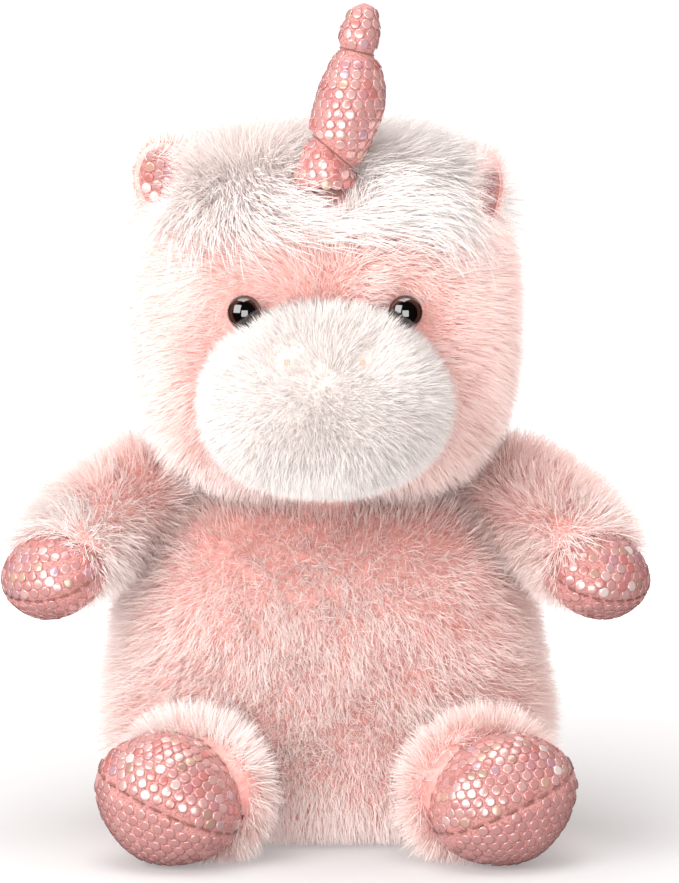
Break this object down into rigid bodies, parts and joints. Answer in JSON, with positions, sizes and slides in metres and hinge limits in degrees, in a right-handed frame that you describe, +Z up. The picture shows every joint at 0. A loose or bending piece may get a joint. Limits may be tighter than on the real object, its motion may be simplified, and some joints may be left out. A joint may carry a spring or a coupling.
{
  "type": "plush unicorn",
  "caption": "Seated long-pile plush unicorn with a pear-shaped torso, boxy head, white muzzle and forelock, soft cinched horn and shiny dotted hooves.",
  "frame": {"origin": "on the floor under the middle of the bounding box", "axes": "+Z up, the toy's face looks towards -Y, +X is at the right of someone who looks at its face"},
  "size_m": [0.1902, 0.1549, 0.2376],
  "materials": {
    "pink_plush": "long soft pile, matt",
    "white_plush": "long soft pile, matt",
    "foil_dot_fabric": "pink knit with glossy iridescent foil dots",
    "seam_thread": "twisted sewing thread",
    "nostril_thread": "embroidery thread",
    "eye_gloss": "polished, dark brown rim round a black middle",
    "washer_plastic": "moulded",
    "pouch_fabric": "plain woven",
    "bean_pellets": "small pellets",
    "fibre_filling": "polyester fibre"
  },
  "bodies": {
    "torso": {"base_panel": "pink_plush", "bean_pellets": "bean_pellets", "bean_pouch": "pouch_fabric", "body_cover_back": "pink_plush", "body_cover_front": "pink_plush", "body_stuffing": "fibre_filling"},
    "neck": {"neck_stuffing": "fibre_filling"},
    "head": {"eye_l": "eye_gloss", "eye_r": "eye_gloss", "eye_washer_l": "washer_plastic", "eye_washer_r": "washer_plastic", "forelock": "white_plush", "head_cover_back": "pink_plush", "head_cover_front": "pink_plush", "head_stuffing": "fibre_filling", "mane": "white_plush", "muzzle_cover": "white_plush", "muzzle_stuffing": "fibre_filling", "nostril_stitch_l": "nostril_thread", "nostril_stitch_r": "nostril_thread"},
    "horn": {"horn_cover": "foil_dot_fabric", "horn_stuffing": "fibre_filling", "horn_thread": "seam_thread"},
    "tail": {"tail_cover": "white_plush", "tail_stuffing": "fibre_filling"},
    "ear_l": {"ear_l_back": "pink_plush", "ear_l_lining": "foil_dot_fabric"},
    "ear_r": {"ear_r_back": "pink_plush", "ear_r_lining": "foil_dot_fabric"},
    "arm_l": {"arm_l_hoof_lower": "foil_dot_fabric", "arm_l_hoof_thread": "seam_thread", "arm_l_hoof_upper": "foil_dot_fabric", "arm_l_sleeve": "pink_plush", "arm_l_stuffing": "fibre_filling"},
    "arm_r": {"arm_r_hoof_lower": "foil_dot_fabric", "arm_r_hoof_thread": "seam_thread", "arm_r_hoof_upper": "foil_dot_fabric", "arm_r_sleeve": "pink_plush", "arm_r_stuffing": "fibre_filling"},
    "leg_l": {"leg_l_hoof_lower": "foil_dot_fabric", "leg_l_hoof_thread": "seam_thread", "leg_l_hoof_upper": "foil_dot_fabric", "leg_l_sleeve": "pink_plush", "leg_l_stuffing": "fibre_filling"},
    "leg_r": {"leg_r_hoof_lower": "foil_dot_fabric", "leg_r_hoof_thread": "seam_thread", "leg_r_hoof_upper": "foil_dot_fabric", "leg_r_sleeve": "pink_plush", "leg_r_stuffing": "fibre_filling"}
  },
  "joints": [
    {"name": "neck_turn", "type": "hinge", "parent": "torso", "child": "neck", "pos_m": [0, 0.006, 0.099], "axis": [0, 0, 1], "range_deg": [-20, 20], "stiffness_Nm_per_rad": 0.8},
    {"name": "neck_nod", "type": "hinge", "parent": "neck", "child": "head", "pos_m": [0, 0.006, 0.099], "axis": [1, 0, 0], "range_deg": [-12, 12], "stiffness_Nm_per_rad": 0.9},
    {"name": "horn_flex", "type": "hinge", "parent": "head", "child": "horn", "pos_m": [-0.001, -0.031, 0.187], "axis": [1, 0, 0], "range_deg": [-15, 15], "stiffness_Nm_per_rad": 0.05},
    {"name": "tail_lift", "type": "hinge", "parent": "torso", "child": "tail", "pos_m": [0, 0.0636, 0.032], "axis": [1, 0, 0], "range_deg": [0, 45], "stiffness_Nm_per_rad": 0.05},
    {"name": "ear_l_flex", "type": "hinge", "parent": "head", "child": "ear_l", "pos_m": [-0.043, 0, 0.179], "axis": [0.8444, -0.4695, 0.2581], "range_deg": [-15, 15], "stiffness_Nm_per_rad": 0.03},
    {"name": "ear_r_flex", "type": "hinge", "parent": "head", "child": "ear_r", "pos_m": [0.043, 0, 0.179], "axis": [0.5068, 0.8481, -0.1549], "range_deg": [-15, 15], "stiffness_Nm_per_rad": 0.03},
    {"name": "shoulder_l_lift", "type": "hinge", "parent": "torso", "child": "arm_l", "pos_m": [-0.0545, 0.004, 0.0948], "axis": [-0.7552, 0.6554, 0], "range_deg": [-25, 30], "stiffness_Nm_per_rad": 0.3},
    {"name": "hip_l_lift", "type": "hinge", "parent": "torso", "child": "leg_l", "pos_m": [-0.0375, -0.0384, 0.0175], "axis": [-0.9378, 0.3473, 0], "range_deg": [0, 30], "stiffness_Nm_per_rad": 0.4},
    {"name": "shoulder_r_lift", "type": "hinge", "parent": "torso", "child": "arm_r", "pos_m": [0.0545, 0.004, 0.0948], "axis": [-0.7552, -0.6554, 0], "range_deg": [-25, 30], "stiffness_Nm_per_rad": 0.3},
    {"name": "hip_r_lift", "type": "hinge", "parent": "torso", "child": "leg_r", "pos_m": [0.0435, -0.0384, 0.0175], "axis": [-0.9378, -0.3473, 0], "range_deg": [0, 30], "stiffness_Nm_per_rad": 0.4}
  ]
}
